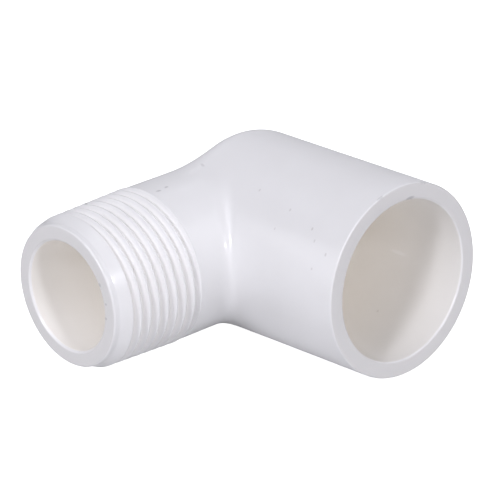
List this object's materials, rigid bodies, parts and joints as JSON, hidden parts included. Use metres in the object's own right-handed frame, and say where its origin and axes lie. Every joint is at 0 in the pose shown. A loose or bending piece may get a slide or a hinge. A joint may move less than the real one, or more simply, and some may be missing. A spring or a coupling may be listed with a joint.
{
  "type": "pvc elbow fitting",
  "caption": "White PVC street elbow that turns a pipe run through a right angle: plain slip socket on one leg, taper pipe thread on the other.",
  "frame": {"origin": "centre of the slip socket's mouth, on the plane of its rim", "axes": "+X along the socket's axis, out of its mouth; -Y along the threaded leg's axis, out of its nose; +Z square to both legs"},
  "size_m": [0.0492, 0.057, 0.0328],
  "materials": {
    "pvc_socket": "smooth moulded white PVC with a low satin gloss",
    "pvc_bend": "smooth moulded white PVC with a low satin gloss",
    "pvc_thread": "moulded white PVC thread, slightly softer gloss"
  },
  "bodies": {
    "root": {"slip_socket": "pvc_socket", "elbow_bend": "pvc_bend", "threaded_spigot": "pvc_thread"}
  },
  "joints": []
}
